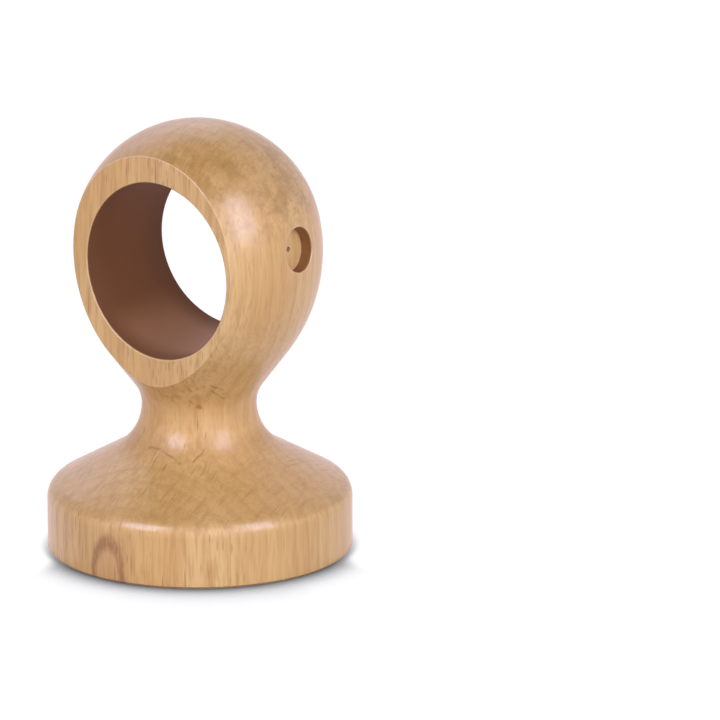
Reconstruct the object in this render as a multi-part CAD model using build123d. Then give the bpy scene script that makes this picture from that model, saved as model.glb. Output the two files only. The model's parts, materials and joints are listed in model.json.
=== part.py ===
"""Turned wooden curtain pole bracket.

One piece of wood: a round base, a cove up to a slim neck, and a ball head with two sawn flats.
The pole goes through the head from flat to flat.
Millimetres. Origin at the centre of the underside, +Z along the turned axis, the pole along X.
"""
import os
from math import acos, asin, atan2, cos, degrees, hypot, isclose, radians, sin, sqrt, tan

from build123d import *

# Base
base_diameter = 62.1
base_edge_height = 12.8
base_edge_radius = 4.0
foot_easing = 0.5

# Neck: the cove is its lower arc, the throat its upper one
neck_diameter = 23.3
neck_height = 30.2
cove_radius = 11.2
throat_radius = 7.1

# Ball head: its widest level above the neck, its crown above that level, and the long arc of its sides
head_diameter = 50.4
head_rise = 31.7
crown_rise = 26.7
side_radius = 33.9

# Flats sawn on the head, each turned in from square to the bore, so the side with the recess is the thick one
flat_spacing = 29.4
flat_taper = 5.0

# Bore for a 35 mm pole, below the head's widest level
bore_diameter = 36.0
bore_drop = 1.3
bore_easing = 0.25

# Recess and pilot hole for the small screw that stops the pole sliding
recess_diameter = 9.0
recess_depth = 3.0
recess_tilt = 6.0
recess_easing = 0.25
pilot_diameter = 1.1

# Drilled hole in the underside for the double-ended wall screw
wall_hole_diameter = 5.0
wall_hole_depth = 30.0
drill_point_angle = 118.0

# Places that follow from the sizes above
base_radius = base_diameter / 2
neck_radius = neck_diameter / 2
head_radius = head_diameter / 2
bore_radius = bore_diameter / 2
recess_radius = recess_diameter / 2
widest_height = neck_height + head_rise
overall_height = widest_height + crown_rise
bore_height = widest_height - bore_drop

# The sides' arc has its centre beyond the turned axis, and the crown is the ball that runs on from it
side_offset = side_radius - head_radius
crown_radius = (side_radius**2 - crown_rise**2 - side_offset**2) / (2 * (side_radius - crown_rise))
crown_height = overall_height - crown_radius
crown_start = degrees(atan2(crown_height - widest_height, side_offset))

# The throat's arc stays clear of the sides that it runs up to
throat_span = neck_radius + side_offset
throat_room = (throat_span**2 + head_rise**2 - side_radius**2) / (2 * (head_radius - neck_radius))
throat_share = 0.95
throat = min(throat_radius, throat_share * throat_room)

# The recess is square to the head's side, so its axis starts at the centre of the sides' arc
tilt = radians(recess_tilt)
recess_axis = Axis((0, side_offset, widest_height), (0, -cos(tilt), sin(tilt)))

# Drilled shapes grow from their end, along their axis
from_end = (Align.CENTER, Align.CENTER, Align.MIN)


def slope_end():
    """End of the straight slope from the base's edge, where it runs into the cove."""
    across = neck_radius + cove_radius - base_radius
    up = neck_height - base_edge_height
    reach = hypot(across, up)
    heading = atan2(up, across) + asin(cove_radius / reach)
    length = sqrt(reach**2 - cove_radius**2)
    return base_radius + length * cos(heading), base_edge_height + length * sin(heading)


def underside_line():
    """Lower end of the straight underside of the head, its upper end, and where the sides' arc starts."""
    across = throat_span + throat
    reach = hypot(across, head_rise)
    normal = atan2(head_rise, -across) + acos((throat + side_radius) / reach)
    low = (neck_radius + throat + throat * cos(normal), neck_height + throat * sin(normal))
    high = (-side_offset - side_radius * cos(normal), widest_height - side_radius * sin(normal))
    return low, high, degrees(normal) - 180


def turned_blank():
    """The whole bracket as it leaves the lathe."""
    base_edge = (base_radius, base_edge_height)
    neck = (neck_radius, neck_height)
    cove_start = slope_end()
    underside_low, underside_high, side_start = underside_line()
    with BuildPart() as blank:
        with BuildSketch(Plane.YZ) as section:
            with BuildLine():
                Polyline((0, overall_height), (0, 0), (base_radius, 0), base_edge, cove_start)
                RadiusArc(cove_start, neck, cove_radius)
                RadiusArc(neck, underside_low, throat)
                Line(underside_low, underside_high)
                CenterArc((-side_offset, widest_height), side_radius, side_start, crown_start - side_start)
                CenterArc((0, crown_height), crown_radius, crown_start, 90 - crown_start)
            make_face()
            chamfer(section.vertices().group_by(Axis.X)[-1].sort_by(Axis.Y)[0], foot_easing)
            fillet(section.vertices().group_by(Axis.X)[-1].sort_by(Axis.Y)[-1], base_edge_radius)
        revolve(axis=Axis.Z)
    return blank.part


def saw_flats(blank):
    """The blank with a flat sawn on each side of the head."""
    slab = Box(head_radius, head_diameter, overall_height, align=(Align.MIN, Align.CENTER, Align.MIN))
    right = Pos(flat_spacing / 2, 0, neck_height) * Rot(0, 0, flat_taper) * slab
    return blank - right - mirror(right, about=Plane.YZ)


def pole_bore():
    """The pole's hole, from flat to flat."""
    return Pos(0, 0, bore_height) * Rot(0, 90, 0) * Cylinder(bore_radius, 2 * flat_spacing)


def screw_recess():
    """Flat-bottomed recess, and the pilot hole from it into the pole's bore."""
    floor = side_radius - recess_depth
    recess = Pos(0, 0, floor) * Cylinder(recess_radius, head_radius, align=from_end)
    pilot = Pos(0, 0, side_offset) * Cylinder(pilot_diameter / 2, head_radius, align=from_end)
    return recess_axis.location * (recess + pilot)


def wall_hole():
    """Blind hole up the turned axis, with the cone that a twist drill leaves."""
    radius = wall_hole_diameter / 2
    point = radius / tan(radians(drill_point_angle / 2))
    shank = Cylinder(radius, wall_hole_depth, align=from_end)
    return shank + Pos(0, 0, wall_hole_depth) * Cone(radius, 0, point, align=from_end)


def wall_edges(bracket, radius):
    """The edges of the round wall that has this radius."""
    walls = bracket.faces().filter_by(GeomType.CYLINDER)
    return walls.filter_by(lambda face: isclose(face.radius, radius)).edges()


def turned_bracket():
    """The finished bracket, with the rims of the bore and of the recess eased."""
    bracket = saw_flats(turned_blank()) - pole_bore()
    bore_rims = wall_edges(bracket, bore_radius).filter_by(GeomType.LINE, reverse=True)
    bracket = chamfer(bore_rims, bore_easing) - screw_recess() - wall_hole()
    recess_rim = wall_edges(bracket, recess_radius).sort_by(recess_axis)[-1]
    return chamfer(recess_rim, recess_easing)


os.makedirs("parts", exist_ok=True)
export_step(turned_bracket(), "parts/turned_bracket.step")
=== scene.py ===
"""Looks of the turned curtain pole bracket: clear lacquered wood on a pale floor, in soft studio light.

Metres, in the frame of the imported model: +Z up the turned axis, the pole's bore along X.
The wood's own sizes are in millimetres. Two limits say where a change begins and where it is complete.
"""
import json
from math import atan, cos, hypot, radians, sin

import bpy
from mathutils import Matrix, Vector

# Camera, set to the photograph's view. Pixels are those of the photograph's square frame.
frame_side = 720
view_azimuth = -55.0
view_elevation = 15.6
view_roll = 0.48
view_distance = 1.25
aim_point = Vector((0, 0, 0.040))
aim_pixel = (198.82, 354.39)
pixels_per_metre = 4940
sensor_width = 36.0

# Soft boxes, each turned from the camera's azimuth: width and height in metres, power in watts.
# One without gloss doesn't show in the lacquer, and one without diffuse shows only there.
light_distance = 0.9
light_colour = (0.93, 0.95, 1.28)
lights = {
    "key_light": {"turn": 46.5, "elevation": 31.0, "size": (0.34, 0.60), "power": 3.95},
    "fill_light": {"turn": -46.0, "elevation": 32.0, "size": (0.42, 0.42), "power": 4.4},
    "front_light": {"turn": 14.0, "elevation": 6.0, "size": (0.60, 0.60), "power": 3.35, "gloss": False},
    "rear_light": {"turn": 180.0, "elevation": 8.0, "size": (0.60, 0.60), "power": 4.4, "gloss": False},
    "rear_glint": {"turn": -168.0, "elevation": 40.0, "size": (0.60, 0.60), "power": 0.6, "diffuse": False},
}

# Surroundings: their light at the horizon and overhead, and how bright and tinted they show in gloss.
# Limits are of the height on a sphere of radius 1.
horizon_light = 0.62
zenith_light = 0.0
zenith_limits = (0.0, 0.8)
zenith_gloss = 0.15
zenith_gloss_limits = (0.78, 0.9)
white = (1, 1, 1, 1)
veil_colour = (1.07, 0.88, 0.93, 1)

# Floor: its glow where it is seen, and its grey where light only bounces off it and where it is seen
floor_reach = 3.0
floor_glow = 0.96
floor_bounce = (0.36, 0.36, 0.36, 1)
floor_matt = (0.08, 0.08, 0.08, 1)

# Contact shadow: the side where it is broad, how far it reaches there and elsewhere, and how dark it is.
# Sides go from -1, away from that azimuth, to 1. Openness goes from 0, covered, to 1.
shadow_azimuth = -55.0
shadow_reach = 0.055
contact_reach = 0.003
shadow_depth = 0.9
contact_share = 0.35
broad_limits = (0.3, 1.0)
dark_limits = (-0.15, 0.6)
openness_limits = (0.48, 0.87)
shadow_samples = 16

# Grain: turn of the wood's radial direction from +X, how far off the pith lies, how its lines sway
mm = 1000.0
grain_turn = 6.0
pith_distance = 85.0
sway_sizes = (14, 14, 40)
sway_amounts = (2.2, 2.2, 0)
noise_mean = (0.5, 0.5, 0.5)

# Rings of the years: width, lean along the fibres, and the limits of the late wood as shares of a ring
ring_width = 3.4
ring_lean = 0.02
late_start = (0.35, 0.93)
late_end = (0.95, 1.0)

# Patterns of noise: sizes along three directions, limits, detail and how speckled it is.
# The directions are the grain's. Patches and breaks are as large in every direction.
tone_noise = {"sizes": (16, 20, 45), "limits": (0.35, 0.65)}
streak_noise = {"sizes": (1.1, 1.4, 11), "limits": (0.45, 0.7), "detail": 3.0}
smear_noise = {"sizes": (4.5, 1.3, 4.5), "limits": (0.45, 0.7), "detail": 4.0, "speckle": 0.6}
speckle_noise = {"sizes": (1.6, 0.5, 1.6), "limits": (0.48, 0.68), "detail": 3.0, "speckle": 0.6}
tear_noise = {"sizes": (0.7, 0.7, 5), "limits": (0.27, 0.5), "detail": 3.0, "speckle": 0.6}
patch_noise = {"sizes": (6, 6, 6), "limits": (0.46, 0.59), "detail": 6.0, "speckle": 0.66}
break_noise = {"sizes": (2, 2, 2), "limits": (0.25, 0.5)}

# Fibres, whose noise is also felt in the surface
fibre_sizes = (0.35, 0.5, 8)
fibre_detail = 3.0
fibre_limits = (0.45, 0.75)

# Rays and pores: cells in the grain, how much of a cell is dark, and how likely that is
ray_cells = {"sizes": (9.0, 0.6, 4.2), "core": (0.16, 0.34), "chance": (0.3, 0.7)}
pore_cells = {"sizes": (2.2, 0.75, 20.0), "core": (0.1, 0.2), "chance": (0.3, 0.7)}

# Cut of the surface, from its normal: flat-sawn wood faces along X, end grain faces up
flat_sawn_limits = (0.3, 0.9)
pore_limits = (0.4, 1.0)
end_limits = (0.3, 0.6)
ray_end_limits = (0.4, 0.8)
ray_end_share = 0.8
streak_least = 0.5

# Dark patches on the crown: heights where they start and end, their side in Y, and the normal's Z there.
# They are made of large patches and fine speckles, in these parts.
crown_start = (62, 74)
crown_end = (84, 87)
crown_side = (-4.0, 12.0)
crown_lean = (0.1, 0.5)
patch_shift = Vector((11.0, 4.0, 2.0))
patch_part = 0.75
speckle_part = 0.35

# Neck, darker by painted shade and with less lacquer: heights where it starts and ends
neck_start = (20.0, 24.0)
neck_end = (32.0, 36.0)

# Edges: the radius they look rounded by, and for the highlight painted on them, the cosine of the turn
# there and the normal's Z
edge_round = 0.3
edge_samples = 6
highlight_turn = (0.94, 0.99)
highlight_lean = (-0.4, 0.2)

# Walls of the drilled holes, which get painted shade: limits inside and outside of the radius, and how far
# past the ends
wall_inside = (-0.15, -0.05)
wall_outside = (0.03, 0.12)
wall_end = 1.0
recess_share = 0.8

# Bore: how far from its middle the painted shade at its mouths begins, and how far out and how high painted
# light lies low in it
mouth_limits = (3.0, 14.0)
low_light_limits = (5.0, 14.0)
low_light_heights = (44.0, 51.0)

# Colours, linear
pale_wood = (0.71, 0.45, 0.163, 1)
warm_wood = (0.645, 0.374, 0.117, 1)
late_wood = (0.48, 0.238, 0.06, 1)
fleck_wood = (0.31, 0.14, 0.045, 1)
arch_wood = (0.52, 0.25, 0.084, 1)
arch_edge = (0.29, 0.122, 0.03, 1)
# Colour of the end grain, also laid as painted shade on faces turned up
end_wood = (0.32, 0.172, 0.038, 1)
patch_wood = (0.36, 0.19, 0.044, 1)
# Painted highlight on the edges
edge_highlight_colour = (0.88, 0.66, 0.40, 1)
pore_wood = (0.20, 0.08, 0.025, 1)
mark_wood = (0.22, 0.105, 0.022, 1)
# Holes' walls: bare wood darkened by painted shade, more at the bore's mouths, and painted light low in the
# bore
bore_wood_and_shade = (0.235, 0.081, 0.019, 1)
bore_mouth_shade = (0.176, 0.06, 0.0142, 1)
low_bore_light = (0.42, 0.195, 0.082, 1)

# Stains on the wood, and painted shade and highlight: how much of the colour covers what is below it, and
# the colour
ring_stain = (0.25, late_wood)
streak_stain = (0.6, late_wood)
fibre_stain = (0.5, late_wood)
ray_stain = (0.5, fleck_wood)
# End grain and painted shade on faces turned up
end_grain_and_shade = (0.35, end_wood)
smear_stain = (0.35, end_wood)
patch_stain = (0.85, patch_wood)
# Painted shade on the neck, under the head
neck_painted_shade = (0.32, late_wood)
arch_stain = (0.45, arch_wood)
arch_line_stain = (0.85, arch_edge)
pore_stain = (0.65, pore_wood)
mark_stain = (0.62, mark_wood)
# Painted highlight on the edges
edge_painted_highlight = (0.85, edge_highlight_colour)
# Walls of the holes, with their painted shade
bore_cover = 0.97

# Surface: roughness of the wood, of the holes' walls and of the lacquer, how much lacquer there is,
# and how deep pores and fibres are felt
wood_roughness = 0.48
wall_roughness = 0.68
lacquer_roughness = 0.21
lacquer_weight = 0.7
neck_lacquer_weight = 0.45
bump_strength = 0.12
bump_depth = 0.1
pore_dent = 0.7
fibre_dent = 0.3

# Darker arch in the grain low on the base: the middle of its round top, half its width, its rise,
# half the width of its line and how much of that is full, how soft its inside ends, how deep it goes
arch_centre = Vector((-31.0, 1.0, 1.2))
arch_half_width = 3.5
arch_rise = 7.0
arch_line = 1.3
arch_line_core = 0.1
arch_inside = (-0.5, 0.5)
arch_depth = (6.0, 10.0)

# Hairlines in the wood of the neck and under the flat: both ends and half the width
hairlines = [
    ((-13.7, 2.8, 23.4), (-14.0, -1.0, 23.4), 0.4),
    ((-14.0, -1.0, 23.4), (-14.9, -5.4, 21.5), 0.45),
    ((-15.0, 0.0, 22.1), (-18.4, -0.4, 19.9), 0.3),
    ((-15.8, -3.0, 21.3), (-17.5, -3.0, 20.2), 0.35),
    ((-10.2, -8.7, 24.2), (-13.2, -7.9, 21.9), 0.35),
    ((-14.3, -6.6, 38.1), (-12.5, -7.0, 36.2), 0.3),
    ((-12.1, -5.6, 34.8), (-10.8, -5.8, 33.1), 0.3),
    ((-11.5, -10.7, 38.1), (-8.5, -11.7, 36.4), 0.3),
    ((-10.2, -10.3, 36.4), (-6.7, -10.8, 33.9), 0.3),
]
hairline_core = 0.15

# Pin knot on the neck
knot = Vector((-9.9, -6.8, 32.4))
knot_radius = 0.75
knot_core = 0.4

# Fine wander of the arch, the hairlines and the knot, so that they aren't ruled
wander_sizes = (2.5, 2.5, 2.5)
wander_amounts = (1, 1, 1)


def direction(azimuth, elevation):
    """Unit vector towards a viewpoint. At azimuth 0 it looks along +Y."""
    a = radians(azimuth)
    e = radians(elevation)
    return Vector((sin(a) * cos(e), -cos(a) * cos(e), sin(e)))


def connect(tree, socket, value):
    """Link the socket to another one, or set it."""
    if isinstance(value, bpy.types.NodeSocket):
        tree.links.new(value, socket)
    else:
        socket.default_value = value


def node(tree, kind, inputs=None, **settings):
    """A new node with its settings made and its inputs set or linked."""
    made = tree.nodes.new(kind)
    for name, value in settings.items():
        setattr(made, name, value)
    for name, value in (inputs or {}).items():
        connect(tree, made.inputs[name], value)
    return made


def calc(tree, operation, *values, clamp=False):
    """Result of a Math node."""
    inputs = dict(enumerate(values))
    return node(tree, "ShaderNodeMath", inputs, operation=operation, use_clamp=clamp).outputs[0]


def vector_calc(tree, operation, *values):
    """Vector result of a Vector Math node."""
    inputs = dict(enumerate(values))
    return node(tree, "ShaderNodeVectorMath", inputs, operation=operation).outputs["Vector"]


def measure(tree, operation, *values):
    """Number that a Vector Math node gives, such as a length."""
    inputs = dict(enumerate(values))
    return node(tree, "ShaderNodeVectorMath", inputs, operation=operation).outputs["Value"]


def parts_of(tree, vector):
    """X, Y and Z of a vector."""
    return node(tree, "ShaderNodeSeparateXYZ", {"Vector": vector}).outputs


def rise(tree, value, low, high):
    """0 below low, 1 above high, smooth in between."""
    inputs = {"Value": value, "From Min": low, "From Max": high}
    return node(tree, "ShaderNodeMapRange", inputs, interpolation_type="SMOOTHSTEP").outputs["Result"]


def fall(tree, value, low, high):
    """1 below low, 0 above high, smooth in between."""
    return calc(tree, "SUBTRACT", 1.0, rise(tree, value, low, high))


def all_of(tree, share, *others):
    """Share where all of these are: their product."""
    for other in others:
        share = calc(tree, "MULTIPLY", share, other)
    return share


def any_of(tree, share, *others):
    """Share where any of these is: the largest."""
    for other in others:
        share = calc(tree, "MAXIMUM", share, other)
    return share


def between(tree, share, first, second):
    """First number where share is 0, second one where it is 1."""
    return calc(tree, "MULTIPLY_ADD", share, second - first, first)


def mixed(tree, share, first, second):
    """First colour where share is 0, second one where it is 1."""
    made = node(tree, "ShaderNodeMix", data_type="RGBA")
    connect(tree, made.inputs[0], share)
    connect(tree, made.inputs[6], first)
    connect(tree, made.inputs[7], second)
    return made.outputs[2]


def overlaid(tree, colour, share, amount, cover_colour):
    """Colour with another laid over it where share is 1, by this amount: a stain, painted shade or a
    painted highlight.
    """
    return mixed(tree, all_of(tree, share, amount), colour, cover_colour)


def noise(tree, place, sizes, detail=2.0, speckle=0.5):
    """Noise node with features of these sizes along the three directions, about 0.5 on average."""
    scaled = vector_calc(tree, "DIVIDE", place, sizes)
    inputs = {"Vector": scaled, "Scale": 1.0, "Detail": detail, "Roughness": speckle}
    return node(tree, "ShaderNodeTexNoise", inputs)


def pattern(tree, place, sizes, limits, **details):
    """Share from 0 to 1 in patches of noise."""
    return rise(tree, noise(tree, place, sizes, **details).outputs[0], *limits)


def swayed(tree, place, sizes, amounts):
    """Place moved to and fro by noise, by up to half of these amounts."""
    shift = vector_calc(tree, "SUBTRACT", noise(tree, place, sizes).outputs["Color"], noise_mean)
    return vector_calc(tree, "ADD", place, vector_calc(tree, "MULTIPLY", shift, amounts))


def specks(tree, place, sizes, core, chance):
    """1 at the middle of some of the cells of these sizes."""
    scaled = vector_calc(tree, "DIVIDE", place, sizes)
    made = node(tree, "ShaderNodeTexVoronoi", {"Vector": scaled, "Scale": 1.0})
    luck = node(tree, "ShaderNodeSeparateColor", {"Color": made.outputs["Color"]}).outputs["Red"]
    return all_of(tree, fall(tree, made.outputs["Distance"], *core), rise(tree, luck, *chance))


def new_tree(owner):
    """Empty node tree of a material or world."""
    owner.use_nodes = True
    owner.node_tree.nodes.clear()
    return owner.node_tree


def add_camera():
    """Camera that shows the aim point at its pixel of the photograph."""
    data = bpy.data.cameras.new("camera")
    data.sensor_width = sensor_width
    focal = pixels_per_metre * view_distance
    data.lens = sensor_width * focal / frame_side
    camera = bpy.data.objects.new("camera", data)
    bpy.context.collection.objects.link(camera)
    back = direction(view_azimuth, view_elevation)
    pan = atan((aim_pixel[0] - frame_side / 2) / focal)
    tilt = atan((aim_pixel[1] - frame_side / 2) / focal)
    turn = (-back).to_track_quat("-Z", "Y").to_matrix().to_4x4()
    turn @= Matrix.Rotation(radians(-view_roll), 4, "Z")
    turn @= Matrix.Rotation(pan, 4, "Y") @ Matrix.Rotation(tilt, 4, "X")
    camera.matrix_world = Matrix.Translation(aim_point + view_distance * back) @ turn
    bpy.context.scene.camera = camera


def add_softbox(name, turn, elevation, size, power, gloss=True, diffuse=True):
    """Area light that faces the bracket, and shows in its gloss, lights its own colour, or both."""
    data = bpy.data.lights.new(name, "AREA")
    data.shape = "RECTANGLE"
    data.size, data.size_y = size
    data.energy = power
    data.color = light_colour
    lamp = bpy.data.objects.new(name, data)
    bpy.context.collection.objects.link(lamp)
    towards = direction(view_azimuth + turn, elevation)
    facing = (-towards).to_track_quat("-Z", "Y").to_matrix().to_4x4()
    lamp.matrix_world = Matrix.Translation(aim_point + light_distance * towards) @ facing
    lamp.visible_glossy = gloss
    lamp.visible_diffuse = diffuse


def set_world():
    """White surroundings, dim overhead, that give little light of their own."""
    world = bpy.data.worlds.new("studio")
    bpy.context.scene.world = world
    tree = new_tree(world)
    where = node(tree, "ShaderNodeTexCoord")
    height = parts_of(tree, where.outputs["Generated"])["Z"]
    soft = between(tree, rise(tree, height, *zenith_limits), horizon_light, zenith_light)
    path = node(tree, "ShaderNodeLightPath").outputs
    dimmed = between(tree, rise(tree, height, *zenith_gloss_limits), 1.0, zenith_gloss)
    gloss = all_of(tree, dimmed, path["Is Glossy Ray"])
    strength = any_of(tree, path["Is Camera Ray"], path["Is Transmission Ray"], gloss, soft)
    tint = mixed(tree, path["Is Glossy Ray"], white, veil_colour)
    glow = node(tree, "ShaderNodeBackground", {"Color": tint, "Strength": strength})
    node(tree, "ShaderNodeOutputWorld", {"Surface": glow.outputs[0]})


def floor_material():
    """White floor with a close shadow, which is broader on one side of what stands on it."""
    material = bpy.data.materials.new("pale_floor")
    tree = new_tree(material)
    outwards = vector_calc(tree, "NORMALIZE", node(tree, "ShaderNodeNewGeometry").outputs["Position"])
    side = measure(tree, "DOT_PRODUCT", outwards, direction(shadow_azimuth, 0))
    reach = between(tree, rise(tree, side, *broad_limits), contact_reach, shadow_reach)
    occlusion = node(tree, "ShaderNodeAmbientOcclusion", {"Distance": reach}, samples=shadow_samples)
    share = between(tree, rise(tree, side, *dark_limits), contact_share, 1.0)
    dark = all_of(tree, fall(tree, occlusion.outputs["AO"], *openness_limits), share)
    shade = between(tree, dark, floor_glow, floor_glow * (1 - shadow_depth))
    path = node(tree, "ShaderNodeLightPath").outputs
    seen = any_of(tree, path["Is Camera Ray"], path["Is Glossy Ray"], path["Is Transmission Ray"])
    tint = mixed(tree, path["Is Glossy Ray"], white, veil_colour)
    glow = node(tree, "ShaderNodeEmission", {"Color": tint, "Strength": all_of(tree, shade, seen)})
    matt = node(tree, "ShaderNodeBsdfDiffuse", {"Color": mixed(tree, seen, floor_bounce, floor_matt)})
    both = node(tree, "ShaderNodeAddShader", {0: glow.outputs[0], 1: matt.outputs[0]})
    node(tree, "ShaderNodeOutputMaterial", {"Surface": both.outputs[0]})
    return material


def add_floor():
    """Plain floor under the bracket, out to the horizon."""
    corners = [(-floor_reach, -floor_reach, 0), (floor_reach, -floor_reach, 0),
               (floor_reach, floor_reach, 0), (-floor_reach, floor_reach, 0)]
    mesh = bpy.data.meshes.new("floor")
    mesh.from_pydata(corners, [], [(0, 1, 2, 3)])
    mesh.materials.append(floor_material())
    floor = bpy.data.objects.new("floor", mesh)
    bpy.context.collection.objects.link(floor)


def grain_space(tree, place):
    """Place in the wood, a little wavy: X away from the pith, Y along the rings, Z along the fibres."""
    wavy = swayed(tree, place, sway_sizes, sway_amounts)
    turned = node(tree, "ShaderNodeMapping", {"Vector": wavy, "Rotation": (0, 0, radians(-grain_turn))})
    return vector_calc(tree, "ADD", turned.outputs[0], (pith_distance, 0, 0))


def year_rings(tree, grain):
    """0 in the early wood of a ring, up to 1 at its late edge."""
    across = vector_calc(tree, "MULTIPLY", grain, (1, 1, ring_lean))
    years = calc(tree, "DIVIDE", measure(tree, "LENGTH", across), ring_width)
    share = calc(tree, "FRACT", years)
    return all_of(tree, rise(tree, share, *late_start), fall(tree, share, *late_end))


def crown_patches(tree, place, grain, upwards):
    """1 in the dark patches on one side of the crown."""
    spot = parts_of(tree, place)
    low = all_of(tree, rise(tree, spot["Z"], *crown_start), rise(tree, upwards, *crown_lean))
    crown = all_of(tree, low, fall(tree, spot["Y"], *crown_side), fall(tree, spot["Z"], *crown_end))
    large = pattern(tree, vector_calc(tree, "ADD", place, patch_shift), **patch_noise)
    fine = pattern(tree, grain, **speckle_noise)
    patches = calc(tree, "MULTIPLY_ADD", fine, speckle_part, all_of(tree, large, patch_part))
    return all_of(tree, crown, patches)


def grain_arch(tree, place):
    """1 on the line of the arch, and 1 inside it."""
    offset = parts_of(tree, vector_calc(tree, "SUBTRACT", place, arch_centre))
    aside = calc(tree, "DIVIDE", offset["Y"], arch_half_width)
    above = calc(tree, "DIVIDE", calc(tree, "MAXIMUM", offset["Z"], 0.0), arch_rise)
    round_top = node(tree, "ShaderNodeCombineXYZ", {"X": aside, "Y": above}).outputs[0]
    reach = measure(tree, "LENGTH", round_top)
    gap = calc(tree, "MULTIPLY_ADD", reach, arch_half_width, -arch_half_width)
    near = fall(tree, offset["X"], *arch_depth)
    line = fall(tree, calc(tree, "ABSOLUTE", gap), arch_line_core * arch_line, arch_line)
    return all_of(tree, line, near), all_of(tree, fall(tree, gap, *arch_inside), near)


def hairline(tree, place, start, end, half_width):
    """1 on the line from start to end."""
    along = Vector(end) - Vector(start)
    offset = vector_calc(tree, "SUBTRACT", place, start)
    reach = measure(tree, "DOT_PRODUCT", offset, along)
    share = calc(tree, "DIVIDE", reach, along.length_squared, clamp=True)
    foot = node(tree, "ShaderNodeVectorMath", {0: along, "Scale": share}, operation="SCALE")
    gap = measure(tree, "DISTANCE", offset, foot.outputs["Vector"])
    return fall(tree, gap, hairline_core * half_width, half_width)


def marks(tree, place):
    """1 on the hairlines, which break off here and there, and on the pin knot."""
    lines = any_of(tree, *[hairline(tree, place, *line) for line in hairlines])
    broken = all_of(tree, lines, pattern(tree, place, **break_noise))
    spot = fall(tree, measure(tree, "DISTANCE", place, knot), knot_core * knot_radius, knot_radius)
    return any_of(tree, broken, spot)


def drilled_wall(tree, place, mount):
    """1 on the round wall of a drilled hole."""
    centre = Vector(mount["pos_m"]) * mm
    radius = mount["dims"]["r_mm"]
    reach = hypot(radius, mount["dims"]["length_mm"])
    offset = vector_calc(tree, "SUBTRACT", place, centre)
    off_axis = measure(tree, "LENGTH", vector_calc(tree, "CROSS_PRODUCT", offset, mount["axis"]))
    gap = calc(tree, "SUBTRACT", off_axis, radius)
    wall = all_of(tree, rise(tree, gap, *wall_inside), fall(tree, gap, *wall_outside))
    return all_of(tree, wall, fall(tree, measure(tree, "LENGTH", offset), reach, reach + wall_end))


def wall_colour_and_shade(tree, place):
    """Holes' walls: bare wood with painted shade, darker at the bore's mouths, and painted light low in the
    bore.
    """
    spot = parts_of(tree, place)
    out = calc(tree, "ABSOLUTE", spot["X"])
    cover_colour = mixed(tree, fall(tree, out, *mouth_limits), bore_mouth_shade, bore_wood_and_shade)
    painted_low_light = all_of(tree, fall(tree, spot["Z"], *low_light_heights), fall(tree, out, *low_light_limits))
    return mixed(tree, painted_low_light, cover_colour, low_bore_light)


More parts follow.
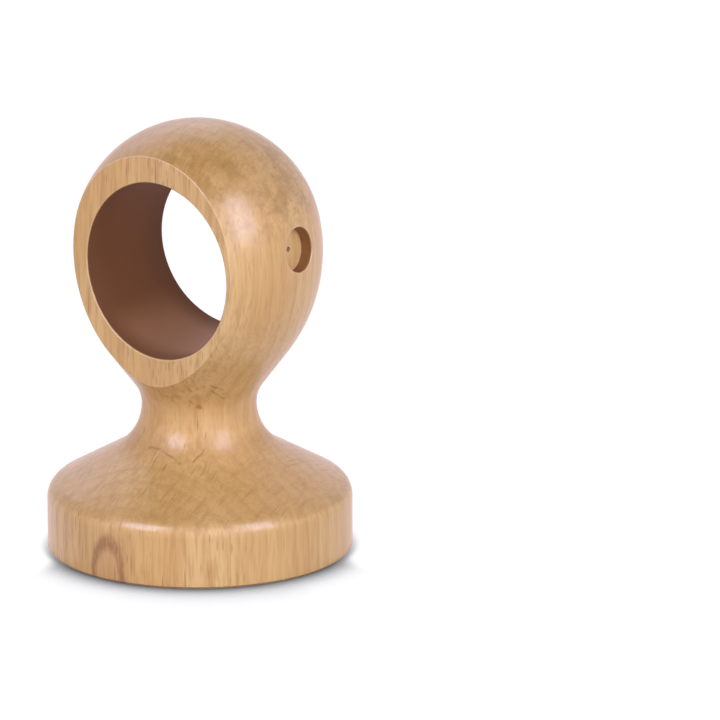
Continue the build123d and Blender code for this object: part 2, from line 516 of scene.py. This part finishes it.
def wood_material(bore, recess):
    """Clear lacquered wood with its grain along Z."""
    material = bpy.data.materials.new("lacquered_wood")
    tree = new_tree(material)
    where = node(tree, "ShaderNodeTexCoord").outputs
    place = vector_calc(tree, "MULTIPLY", where["Object"], (mm, mm, mm))
    facing = parts_of(tree, where["Normal"])
    upwards = facing["Z"]
    flat_sawn = rise(tree, calc(tree, "ABSOLUTE", facing["X"]), *flat_sawn_limits)
    grain = grain_space(tree, place)

    # Clean wood
    colour = mixed(tree, pattern(tree, grain, **tone_noise), pale_wood, warm_wood)
    colour = overlaid(tree, colour, year_rings(tree, grain), *ring_stain)
    streaked = between(tree, flat_sawn, streak_least, 1.0)
    streaks = all_of(tree, pattern(tree, grain, **streak_noise), streaked)
    colour = overlaid(tree, colour, streaks, *streak_stain)
    fibres = noise(tree, grain, fibre_sizes, fibre_detail).outputs[0]
    colour = overlaid(tree, colour, rise(tree, fibres, *fibre_limits), *fibre_stain)
    ray_ends = all_of(tree, rise(tree, upwards, *ray_end_limits), ray_end_share)
    rays = all_of(tree, specks(tree, grain, **ray_cells), any_of(tree, flat_sawn, ray_ends))
    colour = overlaid(tree, colour, rays, *ray_stain)

    # End grain: darker in its own colour, and by painted shade on faces turned up
    ends = rise(tree, upwards, *end_limits)
    colour = overlaid(tree, colour, ends, *end_grain_and_shade)
    smears = all_of(tree, pattern(tree, grain, **smear_noise), ends)
    colour = overlaid(tree, colour, smears, *smear_stain)
    colour = overlaid(tree, colour, crown_patches(tree, place, grain, upwards), *patch_stain)

    # Neck, arch, pores and marks
    height = parts_of(tree, place)["Z"]
    neck = all_of(tree, rise(tree, height, *neck_start), fall(tree, height, *neck_end))
    # Painted shade on the neck, under the head
    colour = overlaid(tree, colour, neck, *neck_painted_shade)
    drawn = swayed(tree, place, wander_sizes, wander_amounts)
    arch, inside_arch = grain_arch(tree, drawn)
    colour = overlaid(tree, colour, inside_arch, *arch_stain)
    torn_arch = all_of(tree, arch, pattern(tree, grain, **tear_noise))
    colour = overlaid(tree, colour, torn_arch, *arch_line_stain)
    pores = all_of(tree, specks(tree, grain, **pore_cells), rise(tree, flat_sawn, *pore_limits))
    colour = overlaid(tree, colour, pores, *pore_stain)
    colour = overlaid(tree, colour, marks(tree, drawn), *mark_stain)

    # Highlight painted on the edges that face up, and the walls of the holes
    edges = node(tree, "ShaderNodeBevel", {"Radius": edge_round / mm}, samples=edge_samples).outputs[0]
    turn = measure(tree, "DOT_PRODUCT", edges, node(tree, "ShaderNodeNewGeometry").outputs["Normal"])
    # Painted highlight where an edge turns, on edges that don't face down
    painted_edge_highlight = all_of(tree, fall(tree, turn, *highlight_turn), rise(tree, upwards, *highlight_lean))
    colour = overlaid(tree, colour, painted_edge_highlight, *edge_painted_highlight)
    # Painted shade on the walls of the bore and, less, of the recess, over their bare wood
    recess_wall = all_of(tree, drilled_wall(tree, place, recess), recess_share)
    walls = any_of(tree, drilled_wall(tree, place, bore), recess_wall)
    colour = overlaid(tree, colour, walls, bore_cover, wall_colour_and_shade(tree, place))

    dent = calc(tree, "MULTIPLY_ADD", pores, pore_dent, all_of(tree, fibres, fibre_dent))
    bump = node(tree, "ShaderNodeBump", {
        "Height": dent,
        "Normal": edges,
        "Strength": bump_strength,
        "Distance": bump_depth / mm,
    }, invert=True)
    lacquer = between(tree, neck, lacquer_weight, neck_lacquer_weight)
    shader = node(tree, "ShaderNodeBsdfPrincipled", {
        "Base Color": colour,
        "Roughness": between(tree, walls, wood_roughness, wall_roughness),
        "Coat Weight": all_of(tree, fall(tree, walls, 0.0, 1.0), lacquer),
        "Coat Roughness": lacquer_roughness,
        "Normal": bump.outputs[0],
        "Coat Normal": edges,
    })
    node(tree, "ShaderNodeOutputMaterial", {"Surface": shader.outputs[0]})
    return material


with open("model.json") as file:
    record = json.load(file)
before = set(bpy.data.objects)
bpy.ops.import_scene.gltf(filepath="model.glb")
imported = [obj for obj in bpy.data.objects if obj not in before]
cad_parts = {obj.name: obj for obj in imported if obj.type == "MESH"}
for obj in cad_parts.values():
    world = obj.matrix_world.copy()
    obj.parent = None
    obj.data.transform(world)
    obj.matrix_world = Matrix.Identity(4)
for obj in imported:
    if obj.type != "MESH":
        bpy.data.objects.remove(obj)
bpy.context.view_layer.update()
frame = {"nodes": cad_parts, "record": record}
mounts = {mount["name"]: mount for mount in frame["record"]["mounts"]}

bracket = frame["nodes"]["turned_bracket"]
bracket.data.materials.clear()
bracket.data.materials.append(wood_material(mounts["pole_bore"], mounts["lock_screw_recess"]))

add_camera()
for name, light in lights.items():
    add_softbox(name, **light)
set_world()
add_floor()
bpy.context.scene.view_settings.view_transform = "Standard"
